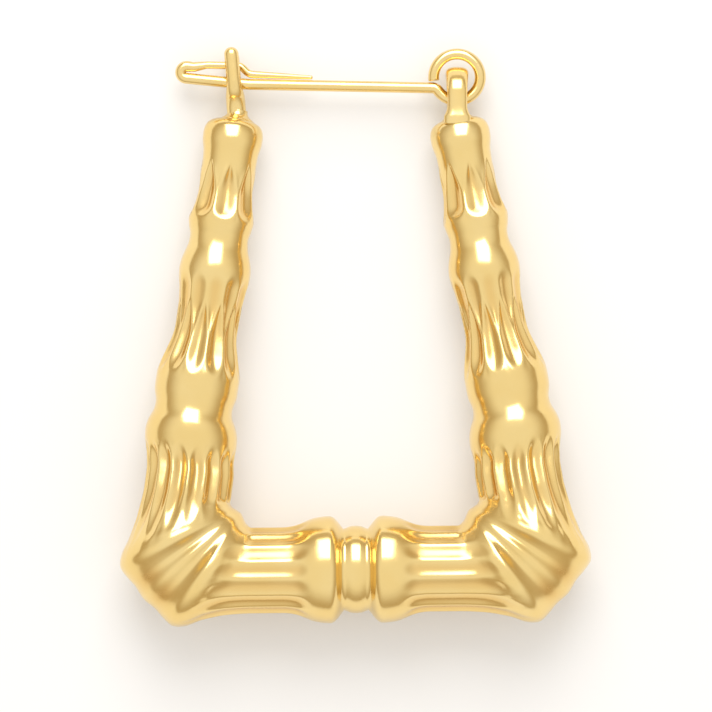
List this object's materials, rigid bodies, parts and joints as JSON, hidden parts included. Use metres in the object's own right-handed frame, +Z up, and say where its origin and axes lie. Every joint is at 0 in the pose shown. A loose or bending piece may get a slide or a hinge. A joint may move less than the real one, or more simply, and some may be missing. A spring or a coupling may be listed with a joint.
{
  "type": "hoop earring",
  "caption": "Polished gold trapezoid hoop shaped like jointed bamboo, hollow, with a hinged ear wire that drops into a forked catch.",
  "frame": {"origin": "on the surface that the earring lies on, under the middle of its box", "axes": "+X across the hoop from the catch to the hinge, +Y from the bottom bar to the ear wire, +Z up off the surface"},
  "size_m": [0.0312, 0.0386, 0.0076],
  "materials": {
    "gold": "polished"
  },
  "bodies": {
    "hoop": {"bamboo_hoop": "gold"},
    "wire": {"ear_wire": "gold"}
  },
  "joints": [
    {"name": "ear_wire", "type": "hinge", "parent": "hoop", "child": "wire", "pos_m": [0.00678, 0.01732, 0.00189], "axis": [0, -0.0604, -0.9982], "range_deg": [0, 240]}
  ]
}
